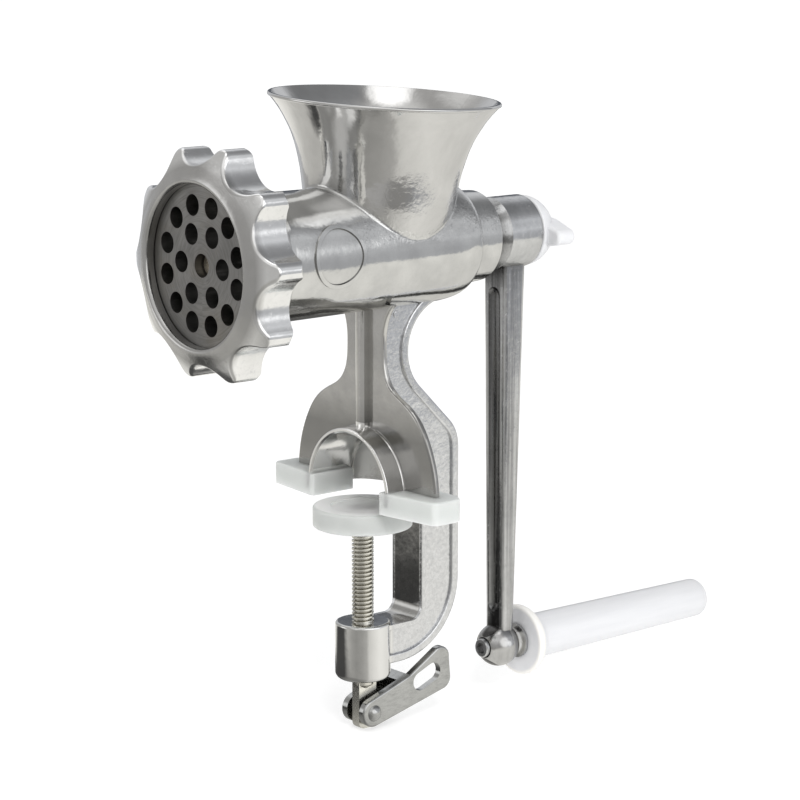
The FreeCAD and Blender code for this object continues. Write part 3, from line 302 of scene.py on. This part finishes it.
def crank_finish():
    """Crank arm: buffed lengthwise, with hub and ball."""
    m = Mat("crank_aluminium")
    v = m.scaled(420, 420, 9)
    runs = m.noise(1.0, 4, 0.65, v)
    tone, rough, normal = castings(m, (0.68, 0.685, 0.69), (0.52, 0.525, 0.53), (0.08, 0.17), 0.0002, 0.00002, 0.22, (runs, 0.00004))
    arm = m.math("MULTIPLY", m.rng(m.axis(2), 0.082, 0.078, 0, 1), m.rng(m.axis(2), -0.010, -0.050, 1.0, 0.35))
    tone = m.mix(m.math("MULTIPLY", arm, m.rng(runs, 0.40, 0.64, 0.10, 0.85)), tone, (0.20, 0.20, 0.205))
    ball = m.rng(radius(m, 1, 0.0, 2, -0.0655), 0.0086, 0.0080, 0, 1)
    tone = m.mix(m.math("MULTIPLY", ball, 0.5), tone, (0.50, 0.495, 0.485))
    # painted shade: one side of the ball darkened nearly to black
    ball_shaded_side = m.math("ADD", m.math("MULTIPLY", m.math("SUBTRACT", m.axis(0), 0.0625), 0.77), m.math("MULTIPLY", m.axis(1), -0.64))
    tone = m.mix(m.math("MULTIPLY", ball, m.rng(ball_shaded_side, -0.0030, -0.0056, 0, 0.85)), tone, (0.05, 0.049, 0.048))
    # painted shade: dark in tight corners and the groove, left off the neck
    unshaded = corner_shade_mask(m, 0.012, 0.55, 1.0)
    neck = m.math("MULTIPLY", m.rng(m.axis(0), 0.0705, 0.0715, 0, 1), m.rng(m.axis(2), -0.050, -0.055, 0, 1))
    unshaded = m.math("MAXIMUM", unshaded, neck)
    col = m.mix(unshaded, m.mix(0.97, tone, (0.03, 0.029, 0.028)), tone)
    # flute: painted shade, darkest towards the ball
    dx = m.math("SUBTRACT", m.axis(0), m.math("ADD", m.math("MULTIPLY", m.axis(2), -0.004107), 0.062193))
    fd = m.math("SQRT", m.math("ADD", m.math("MULTIPLY", dx, dx), m.math("MULTIPLY", m.axis(1), m.axis(1))))
    flute = m.math("MULTIPLY", m.rng(fd, 0.00345, 0.00325, 0, 1), m.rng(m.axis(2), 0.075, 0.070, 0, 1))
    flute = m.math("MULTIPLY", flute, m.rng(m.axis(1), 0.0026, 0.0008, 0.25, 1.0))
    flute = m.math("MULTIPLY", flute, m.rng(m.axis(2), 0.075, 0.0, 0.35, 0.88))
    col = m.mix(flute, col, (0.035, 0.034, 0.034))
    # painted reflection: the neck made light as if mirroring the white grip
    col = m.mix(neck, col, (0.90, 0.89, 0.86))
    m.set(Base_Color=col, Metallic=1.0, Roughness=rough, Normal=normal)
    return m.m


def auger_finish():
    """Feed screw: as-cast satin aluminium, darker towards the core between the flights."""
    m = Mat("auger_aluminium")
    rb = radius(m, 1, 0.0, 2, AXIS_Z)
    tone, rough, normal = castings(m, (0.60, 0.60, 0.59), (0.42, 0.42, 0.41), (0.26, 0.42), 0.0002, 0.00005, 0.35)
    col = m.mix(m.rng(rb, 0.008, 0.019, 0.55, 0.0), tone, (0.24, 0.24, 0.235))
    m.set(Base_Color=col, Metallic=1.0, Roughness=rough, Normal=normal)
    return m.m


def plate_finish():
    """Cutting plate: dull ground tool steel with rings from the grinding wheel and a little brown bloom."""
    m = Mat("plate_steel")
    rb = radius(m, 1, 0.0, 2, AXIS_Z)
    rings = m.noise(1.0, 3, 0.6, joined(m, m.math("MULTIPLY", rb, 1500.0), m.math("MULTIPLY", angle(m, 1, 0, 2, AXIS_Z), 1.5), 0.0))
    cloud = m.noise(55, 4, 0.6)
    col = m.mix(m.rng(cloud, 0.3, 0.7, 0, 1), (0.22, 0.217, 0.212), (0.33, 0.325, 0.317))
    col = m.mix(m.rng(rings, 0.4, 0.7, 0.0, 0.5), col, (0.14, 0.136, 0.13))
    col = m.mix(m.rng(m.noise(35, 5, 0.7, m.scaled(1, 1, 1, (0.2, 0.1, 0.3))), 0.50, 0.72, 0.0, 0.3), col, (0.22, 0.19, 0.13))
    m.set(Base_Color=col, Metallic=1.0, Roughness=m.rng(rings, 0.3, 0.7, 0.34, 0.50), Normal=m.bump(rings, 0.00002, 0.7))
    return m.m


def ground_steel(name, base, dark, rough, scale=(900, 900, 900), lines=0.00002):
    """Ground, turned or plated steel with fine marks along the short scale."""
    m = Mat(name)
    marks = m.noise(1.0, 4, 0.65, m.scaled(*scale))
    cloud = m.noise(130, 4, 0.6)
    col = m.mix(m.rng(cloud, 0.3, 0.7, 0, 1), dark, base)
    col = m.mix(m.rng(marks, 0.45, 0.75, 0.0, 0.45), col, tuple(c * 0.55 for c in dark))
    # painted shade: dark in tight corners
    unshaded = corner_shade_mask(m, 0.003)
    col = m.mix(unshaded, m.mix(0.6, col, (0.06, 0.055, 0.05)), col)
    m.set(Base_Color=col, Metallic=1.0, Roughness=m.rng(marks, 0.3, 0.7, rough[0], rough[1]), Normal=m.bump(marks, lines, 0.7))
    return m.m


def screw_finish():
    """Clamp screw: nickel plate, bright on the crests and dark in the thread roots."""
    m = Mat("screw_nickel")
    r = radius(m, 0, 0.0, 1, 0.0)
    marks = m.noise(700, 4, 0.65)
    deep = m.rng(r, 0.0033, 0.0039, 1, 0)
    thread = m.rng(m.axis(2), -0.0690, -0.0685, 0, 1)
    col = m.mix(m.rng(m.noise(160, 3), 0.3, 0.7, 0, 1), (0.80, 0.785, 0.72), (0.92, 0.91, 0.85))
    col = m.mix(m.math("MULTIPLY", m.math("MULTIPLY", deep, thread), 0.55), col, (0.22, 0.205, 0.17))
    col = m.mix(m.rng(marks, 0.5, 0.72, 0, 0.3), col, (0.46, 0.44, 0.38))
    m.set(Base_Color=col, Metallic=1.0, Roughness=m.rng(marks, 0.3, 0.7, 0.18, 0.34), Normal=m.bump(marks, 0.00002, 0.7))
    return m.m


def nylon(name, base, shade, rough, milky, grain=(260, 260, 260), disc=False, depth=0.003, bell=False):
    """Moulded white plastic: faint flow clouding, tiny dimples, light passing a little way in."""
    m = Mat(name)
    flow = m.noise(1.0, 4, 0.6, m.scaled(*grain))
    fine = m.noise(1500, 3, 0.6)
    specks = m.ramp(m.noise(640, 4, 0.7), (0.66, 0.0), (0.72, 1.0))
    col = m.mix(m.rng(flow, 0.3, 0.7, 0, 1), shade, base)
    col = m.mix(m.math("MULTIPLY", specks, 0.10), col, tuple(c * 0.75 for c in shade))
    if disc:
        z = m.axis(2)
        rim = radius(m, 0, 0.0, 1, 0.0)
        # painted light: the disc's top made lighter and its side darker, as lit and shaded copies of one plastic
        col = m.mix(m.math("MULTIPLY", m.math("MULTIPLY", m.rng(z, -0.0032, -0.0024, 0, 1), m.rng(z, -0.0006, -0.0010, 0, 1)), m.rng(rim, 0.0174, 0.0167, 0, 1)), col, m.mix(m.rng(flow, 0.3, 0.7, 0, 1), (0.88, 0.89, 0.88), (0.94, 0.95, 0.94)))
        col = m.mix(m.math("MULTIPLY", m.math("MULTIPLY", m.rng(z, -0.0006, -0.0012, 0, 1), m.rng(rim, 0.0171, 0.0177, 0, 1)), 0.55), col, m.mix(m.rng(flow, 0.3, 0.7, 0, 1), (0.42, 0.43, 0.42), (0.50, 0.51, 0.50)))
    if bell:
        # partly a warmer cream tone, partly painted light: the grip's bell face made lighter
        col = m.mix(m.math("MULTIPLY", m.rng(radius(m, 1, 0.0, 2, -0.0655), 0.0118, 0.0128, 0, 1), m.rng(m.axis(2), -0.030, -0.036, 0, 1)), col, (0.95, 0.93, 0.895))
    # painted shade: darker in tight corners
    unshaded = corner_shade_mask(m, 0.004)
    col = m.mix(unshaded, m.mix(0.22, col, tuple(c * 0.62 for c in shade)), col)
    m.set(Base_Color=col, Roughness=m.rng(fine, 0.3, 0.7, rough[0], rough[1]), Normal=m.bump(m.math("ADD", m.math("MULTIPLY", flow, 0.6), fine), 0.00003, 0.6))
    m.b.inputs["Subsurface Weight"].default_value = milky
    m.b.inputs["Subsurface Radius"].default_value = (1.0, 1.0, 1.0)
    m.b.inputs["Subsurface Scale"].default_value = depth
    m.b.inputs["IOR"].default_value = 1.5
    return m.m


def dress(node, mat):
    o = NODE[node]
    o.data.materials.clear()
    o.data.materials.append(mat)


MAT = {
    "cast_aluminium": body_finish(),
    "nut_aluminium": nut_finish(),
    "crank_aluminium": crank_finish(),
    "auger_aluminium": auger_finish(),
    "plate_steel": plate_finish(),
    "knife_steel": ground_steel("knife_steel", (0.46, 0.46, 0.46), (0.34, 0.34, 0.34), (0.22, 0.38), (300, 1600, 1600)),
    "pin_steel": ground_steel("pin_steel", (0.70, 0.64, 0.53), (0.52, 0.47, 0.38), (0.22, 0.36), (1800, 200, 200)),
    "screw_nickel": screw_finish(),
    "lever_steel": ground_steel("lever_steel", (0.53, 0.535, 0.53), (0.44, 0.445, 0.44), (0.13, 0.22), (260, 700, 700), 0.000006),
    "fastener_steel": ground_steel("fastener_steel", (0.68, 0.685, 0.69), (0.54, 0.545, 0.555), (0.22, 0.38), (1500, 300, 300)),
    "white_nylon": nylon("white_nylon", (0.80, 0.804, 0.82), (0.755, 0.76, 0.778), (0.30, 0.42), 0.20, (25, 300, 300), bell=True),
    "pad_plastic": nylon("pad_plastic", (0.65, 0.67, 0.655), (0.61, 0.63, 0.615), (0.28, 0.40), 0.9, (60, 60, 60), True, 0.009),
    "bush_plastic": nylon("bush_plastic", (0.80, 0.80, 0.78), (0.70, 0.70, 0.68), (0.40, 0.55), 0.15),
}
for sp in frame["record"]["subparts"]:
    dress(sp["node"], MAT[sp["material_slot"]])

# ---------------------------------------------------------------- floor and light
FLOOR_Z = cad_lo.z - 0.0006
mesh = bpy.data.meshes.new("floor")
R = 14.0
mesh.from_pydata([(-R, -R, FLOOR_Z), (R, -R, FLOOR_Z), (R, R, FLOOR_Z), (-R, R, FLOOR_Z)], [], [(0, 1, 2, 3)])
floor = bpy.data.objects.new("floor", mesh)
scene.collection.objects.link(floor)
fm = Mat("floor_paper")
fm.set(Base_Color=fm.mix(fm.noise(6, 3), (0.54, 0.54, 0.54), (0.56, 0.56, 0.56)), Roughness=0.95)
fm.b.inputs["Emission Color"].default_value = (1, 1, 1, 1)
fm.b.inputs["Emission Strength"].default_value = 0.64
mesh.materials.append(fm.m)
floor.visible_glossy = False

# table top as the polished metal sees it, a glowing plane seen only in reflections: brighter to the right and behind,
# darker on the near side and in a painted shadow of the object
mesh = bpy.data.meshes.new("table_board")
mesh.from_pydata([(x, y, FLOOR_Z - 0.0004) for x, y in ((-0.42, -0.245), (1.10, -0.64), (1.10, 0.95), (-0.42, 0.95))], [], [(0, 1, 2, 3)])
board = bpy.data.objects.new("table_board", mesh)
scene.collection.objects.link(board)
bm = Mat("table_board")
turn = bm.math("ADD", bm.math("MULTIPLY", bm.math("ARCTAN2", bm.axis(1), bm.axis(0)), 0.5 / math.pi), 0.5)
glow = bm.ramp(turn, *[((deg + 180) / 360, (v * 1.02, v * 1.005, v * 0.955)) for deg, v in (
    (-180, .50), (-172, .44), (-155, .38), (-132, .43), (-113, .52), (-103, .78), (-85, .88), (-60, .97), (-40, .92),
    (-20, .86), (0, .83), (20, .76), (38, .73), (58, 1.0), (72, 1.0), (85, .90), (100, .70), (125, .60), (145, .63),
    (165, .60), (180, .50))])
along = bm.math("SUBTRACT", bm.math("ADD", bm.math("MULTIPLY", bm.axis(0), -0.6), bm.math("MULTIPLY", bm.axis(1), 0.8)), 0.15)
across = bm.math("ADD", bm.math("MULTIPLY", bm.axis(0), 0.8), bm.math("MULTIPLY", bm.axis(1), 0.6))
along = bm.math("MULTIPLY", along, 0.5)
shade = bm.rng(bm.math("SQRT", bm.math("ADD", bm.math("MULTIPLY", along, along), bm.math("MULTIPLY", across, across))), 0.052, 0.090, 0.95, 0.0)
# dark wedge straight behind, which draws the outlines of polished edges
back = bm.math("ADD", bm.math("MULTIPLY", bm.axis(0), 0.643), bm.math("MULTIPLY", bm.axis(1), 0.766))
off = bm.math("ABSOLUTE", bm.math("SUBTRACT", bm.math("MULTIPLY", bm.axis(0), 0.766), bm.math("MULTIPLY", bm.axis(1), 0.643)))
wedge = bm.math("MULTIPLY", bm.rng(bm.math("DIVIDE", off, back), 0.09, 0.22, 0.92, 0.0), bm.rng(back, 0.08, 0.12, 0, 1))
shade = bm.math("MAXIMUM", shade, wedge)
# a second painted shadow of the object, close to it near the crank's ball
shade = bm.math("MAXIMUM", shade, bm.rng(radius(bm, 0, 0.012, 1, 0.055), 0.034, 0.058, 0.93, 0.0))
bm.set(Base_Color=(0, 0, 0, 1), Roughness=1.0, Emission_Color=bm.mix(shade, glow, (0.05, 0.05, 0.05)), Emission_Strength=1.0)
bm.b.inputs["Specular IOR Level"].default_value = 0.0
mesh.materials.append(bm.m)
board.visible_camera = board.visible_diffuse = board.visible_shadow = board.visible_transmission = False

world = bpy.data.worlds.new("studio")
scene.world = world
world.use_nodes = True
wt = world.node_tree
bg = wt.nodes["Background"]
tc = wt.nodes.new("ShaderNodeTexCoord")


def lobe(d, outer, inner, gain):
    """A soft patch of the studio's surroundings centred on direction d, from outer to inner degrees off it."""
    d = Vector(d).normalized()
    dot = wt.nodes.new("ShaderNodeVectorMath")
    dot.operation = "DOT_PRODUCT"
    wt.links.new(tc.outputs["Generated"], dot.inputs[0])
    dot.inputs[1].default_value = d
    r = wt.nodes.new("ShaderNodeMapRange")
    r.interpolation_type = "SMOOTHSTEP"
    wt.links.new(dot.outputs["Value"], r.inputs["Value"])
    r.inputs["From Min"].default_value = math.cos(math.radians(outer))
    r.inputs["From Max"].default_value = math.cos(math.radians(inner))
    r.inputs["To Max"].default_value = gain
    return r.outputs["Result"]


def tinted(fac, col):
    n = wt.nodes.new("ShaderNodeVectorMath")
    n.operation = "SCALE"
    n.inputs[0].default_value = col
    wt.links.new(fac, n.inputs["Scale"])
    return n.outputs[0]


def wmath(op, a, b=0.0):
    n = wt.nodes.new("ShaderNodeMath")
    n.operation = op
    for k, v in enumerate((a, b)):
        if hasattr(v, "links"):
            wt.links.new(v, n.inputs[k])
        else:
            n.inputs[k].default_value = v
    return n.outputs[0]


def step(v, a, b):
    r = wt.nodes.new("ShaderNodeMapRange")
    r.interpolation_type = "SMOOTHSTEP"
    wt.links.new(v, r.inputs["Value"])
    r.inputs["From Min"].default_value = a
    r.inputs["From Max"].default_value = b
    return r.outputs["Result"]


def round_ramp(angle_out, stops, tint):
    """Brightness of the surroundings by an angle in degrees from -180 to 180."""
    f = wmath("ADD", wmath("MULTIPLY", angle_out, 0.5 / math.pi), 0.5)
    n = wt.nodes.new("ShaderNodeValToRGB")
    e = n.color_ramp.elements
    while len(e) < len(stops):
        e.new(0.5)
    for k, (deg, v) in enumerate(stops):
        e[k].position = (deg + 180.0) / 360.0
        e[k].color = (v * tint[0], v * tint[1], v * tint[2], 1.0)
    wt.links.new(f, n.inputs["Fac"])
    return n.outputs["Color"]


def blend(fac, a, b):
    n = wt.nodes.new("ShaderNodeMix")
    n.data_type = "RGBA"
    wt.links.new(fac, n.inputs[0])
    for k, v in ((6, a), (7, b)):
        if hasattr(v, "links"):
            wt.links.new(v, n.inputs[k])
        else:
            n.inputs[k].default_value = (*v, 1.0)
    return n.outputs[2]


COOL, WARM, GREY = (0.985, 1.0, 1.03), (1.02, 1.005, 0.955), (1.0, 1.0, 1.0)
sep = wt.nodes.new("ShaderNodeSeparateXYZ")
wt.links.new(tc.outputs["Generated"], sep.inputs[0])
dx, dy, dz = sep.outputs[0], sep.outputs[1], sep.outputs[2]
# room to the right, from the table's edge up and over: a pale band, a dark ceiling, a pale back wall
room = round_ramp(wmath("ARCTAN2", dz, wmath("MULTIPLY", dy, -1.0)), [
    (-180, .60), (-60, .52), (-25, .52), (-10, .52), (0, .58), (10, .72), (20, .64), (30, .61), (40, .68), (50, .46), (60, .34),
    (70, .29), (90, .25), (100, .27), (110, .37), (120, .55), (130, .68), (140, .72), (152, .67), (180, .60)], COOL)
total = blend(step(dx, -0.10, 0.30), (0.49, 0.485, 0.475), room)
for d, o, i, g, c in [
    ((-0.05, -0.92, 0.36), 31, 14, 0.95, GREY),     # window behind the camera
    ((-0.55, -0.35, 0.75), 40, 12, 0.40, GREY),     # overhead panel to the left
    ((0.08, 0.50, 0.86), 27, 8, 0.55, GREY),        # strip overhead, behind
    ((-0.10, -0.13, 0.98), 17, 7, 0.95, GREY),      # ceiling lamp
    ((-0.70, 0.55, 0.14), 20, 7, 0.85, GREY),       # window behind to the left
    ((0.63, 0.75, -0.15), 14, 6, -0.50, GREY),      # dark straight behind
    ((0.63, 0.75, 0.17), 14, 6, -0.48, GREY),
    ((0.42, -0.88, 0.15), 15, 5, 0.75, GREY),
    ((-0.10, -0.90, -0.43), 30, 10, -0.16, GREY),   # dark near side below the table's edge
]:
    part = tinted(lobe(d, o, i, g), c)
    add = wt.nodes.new("ShaderNodeVectorMath")
    add.operation = "ADD"
    wt.links.new(total, add.inputs[0])
    wt.links.new(part, add.inputs[1])
    total = add.outputs[0]
wt.links.new(total, bg.inputs["Color"])
bg.inputs["Strength"].default_value = 1.0


def area(name, loc, aim, size, power, sy=None, col=(1, 1, 1)):
    l = bpy.data.lights.new(name, "AREA")
    l.energy = power
    l.size = size
    l.color = col
    if sy:
        l.shape = "RECTANGLE"
        l.size_y = sy
    o = bpy.data.objects.new(name, l)
    o.location = loc
    o.rotation_mode = "QUATERNION"
    o.rotation_quaternion = (Vector(aim) - Vector(loc)).to_track_quat("-Z", "Y")
    scene.collection.objects.link(o)
    return o


key = area("key_softbox", (-0.45, -0.85, 0.82), (0.02, 0, 0.05), 0.35, 5.2, 0.35)
key.visible_glossy = False

# ------------------------------------------------------------------------ camera
cam = bpy.data.cameras.new("camera")
cam.lens = 121.05
cam.sensor_width = 36.0
cam_o = bpy.data.objects.new("camera", cam)
scene.collection.objects.link(cam_o)
cam_o.location = (-0.59573, -0.73095, 0.22051)
el, az = math.radians(11.0), math.radians(40.0)
look = Vector((math.cos(el) * math.sin(az), math.cos(el) * math.cos(az), -math.sin(el)))
cam_o.rotation_mode = "QUATERNION"
cam_o.rotation_quaternion = look.to_track_quat("-Z", "Y")
cam.clip_start, cam.clip_end = 0.01, 60.0
scene.camera = cam_o

scene.view_settings.view_transform = "Standard"
scene.view_settings.look = "None"
